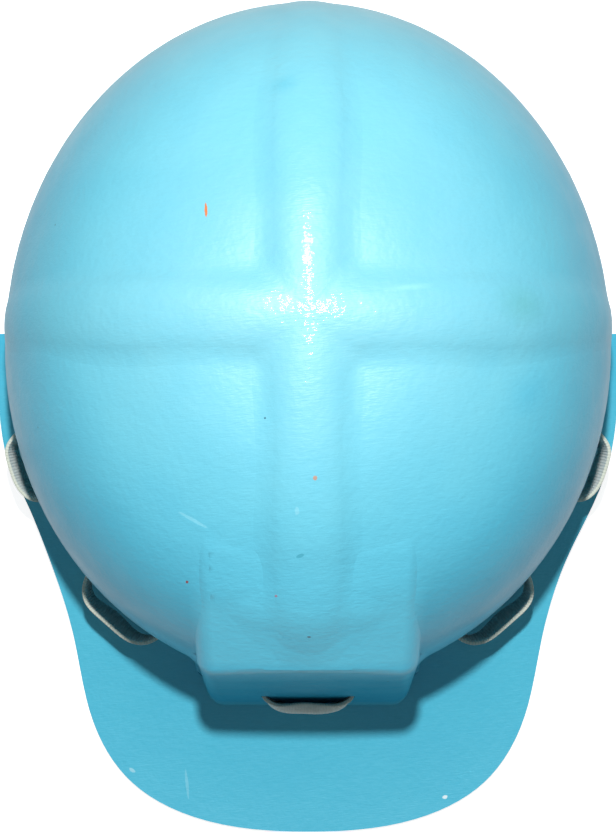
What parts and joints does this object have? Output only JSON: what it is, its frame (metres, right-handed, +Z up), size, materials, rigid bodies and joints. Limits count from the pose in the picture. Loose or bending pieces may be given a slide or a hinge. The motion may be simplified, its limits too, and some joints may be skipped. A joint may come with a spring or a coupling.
{
  "type": "miner helmet",
  "caption": "Hard laminate miner's helmet with a peak, crossing crown ridges, a front lamp boss and a laced webbing cradle inside.",
  "frame": {"origin": "middle of the bounding box's underside: the floor point under the helmet's middle", "axes": "+Z up, the wearer faces -Y, so the peak points to -Y; +X is the wearer's left"},
  "size_m": [0.2254, 0.2978, 0.1415],
  "materials": {
    "shell_enamel": "glossy hand-brushed sky-blue enamel on laminate",
    "tape_cotton": "woven cotton webbing, grey-white",
    "lace_cotton": "braided cotton cord",
    "pad_felt": "grey felt",
    "band_leather": "brown leather",
    "sweatband_leather": "soft tan leather",
    "keeper_leather": "brown leather",
    "buckle_steel": "plated steel wire"
  },
  "bodies": {
    "helmet": {"shell": "shell_enamel", "lacing_tape": "tape_cotton", "cradle_strap_1": "tape_cotton", "cradle_strap_2": "tape_cotton", "cradle_strap_3": "tape_cotton", "cradle_strap_4": "tape_cotton", "cradle_strap_5": "tape_cotton", "cradle_strap_6": "tape_cotton", "cradle_strap_7": "tape_cotton", "cradle_strap_8": "tape_cotton", "crown_lace": "lace_cotton", "crown_pad": "pad_felt", "headband": "band_leather", "sweatband": "sweatband_leather", "headband_hangers": "band_leather", "nape_strap": "band_leather", "buckle_chape": "band_leather", "buckle_frame": "buckle_steel"},
    "prong": {"buckle_prong": "buckle_steel"},
    "keeper": {"strap_keeper": "keeper_leather"}
  },
  "joints": [
    {"name": "prong_hinge", "type": "hinge", "parent": "helmet", "child": "prong", "pos_m": [0.0065, 0.1275, 0.022], "axis": [0, 0, -1], "range_deg": [0, 25]},
    {"name": "keeper_slide", "type": "slide", "parent": "helmet", "child": "keeper", "axis": [0.9182, -0.3962, 0], "range_m": [-0.003, 0.003]}
  ]
}
